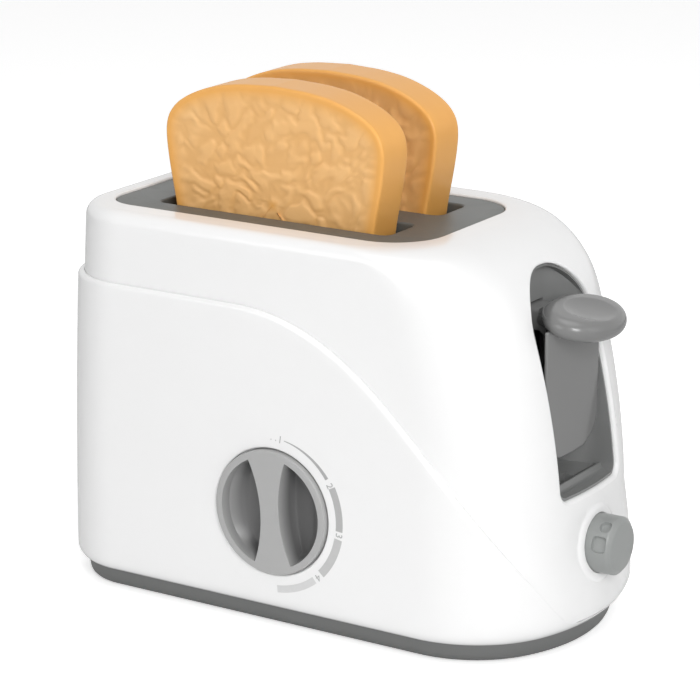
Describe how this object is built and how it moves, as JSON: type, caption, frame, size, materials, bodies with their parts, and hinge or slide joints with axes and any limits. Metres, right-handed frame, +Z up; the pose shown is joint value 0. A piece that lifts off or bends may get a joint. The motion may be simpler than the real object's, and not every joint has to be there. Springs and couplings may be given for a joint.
{
  "type": "toy pop-up toaster",
  "caption": "Toy pop-up toaster with a rounded nose, bread slices in its slots, a sliding lever, a push button that works a latch and a click dial with finger scoops.",
  "frame": {"origin": "on the floor under the middle of the body", "axes": "+X towards the nose with the lever and button, -Y towards the dial side, +Z up"},
  "size_m": [0.1977, 0.103, 0.1772],
  "materials": {
    "shell_white": "gloss",
    "plate_grey": "satin",
    "base_grey": "satin",
    "lever_grey": "satin",
    "dial_grey": "satin",
    "button_grey": "satin",
    "well_grey": "matte",
    "natural_plastic": "satin",
    "toast_tan": "satin",
    "steel": "drawn",
    "foot_rubber": "matte"
  },
  "bodies": {
    "housing": {"base_tray": "base_grey", "rubber_feet": "foot_rubber", "body_wrap": "shell_white", "upper_shell": "shell_white", "slot_plate": "plate_grey", "slice_well_front": "well_grey", "slice_well_rear": "well_grey", "lever_surround": "lever_grey", "rod_bridge": "well_grey", "guide_rods": "steel", "lift_spring": "steel", "button_spring": "steel", "latch_spring": "steel", "latch_pin": "steel", "click_spring": "steel", "dial_bracket": "well_grey", "base_screws": "steel", "plate_screws": "steel", "bridge_screws": "steel", "bracket_screws": "steel"},
    "lever_unit": {"lever": "lever_grey", "toast_carriage": "well_grey", "lever_screws": "steel"},
    "front_slice": {"toast_front": "toast_tan"},
    "rear_slice": {"toast_rear": "toast_tan"},
    "dial": {"dial_knob": "dial_grey", "click_wheel": "natural_plastic", "dial_screw": "steel"},
    "button": {"pop_button": "button_grey"},
    "latch": {"latch_rocker": "natural_plastic"}
  },
  "joints": [
    {"name": "lever_slide", "type": "slide", "parent": "housing", "child": "lever_unit", "axis": [0, 0, -1], "range_m": [0, 0.042], "stiffness_N_per_m": 50, "springref_m": -0.03, "deforming": ["lift_spring"]},
    {"name": "front_slice_lift", "type": "slide", "parent": "lever_unit", "child": "front_slice", "axis": [0, 0, 1], "range_m": [0, 0.06]},
    {"name": "rear_slice_lift", "type": "slide", "parent": "lever_unit", "child": "rear_slice", "axis": [0, 0, 1], "range_m": [0, 0.06]},
    {"name": "dial_turn", "type": "hinge", "parent": "housing", "child": "dial", "pos_m": [-0.004, -0.04, 0.0413], "axis": [0, 1, 0], "range_deg": [0, 180], "deforming": ["click_spring"]},
    {"name": "button_press", "type": "slide", "parent": "housing", "child": "button", "axis": [-1, 0, 0], "range_m": [0, 0.0032], "stiffness_N_per_m": 500, "springref_m": -0.002, "deforming": ["button_spring"]},
    {"name": "latch_swing", "type": "hinge", "parent": "housing", "child": "latch", "pos_m": [0.07, 0, 0.018], "axis": [0, -1, 0], "range_deg": [0, 11.8], "deforming": ["latch_spring"]}
  ],
  "couplings": [
    {"joint": "latch_swing", "follows": "button_press", "rad_per_m": 64.1}
  ]
}
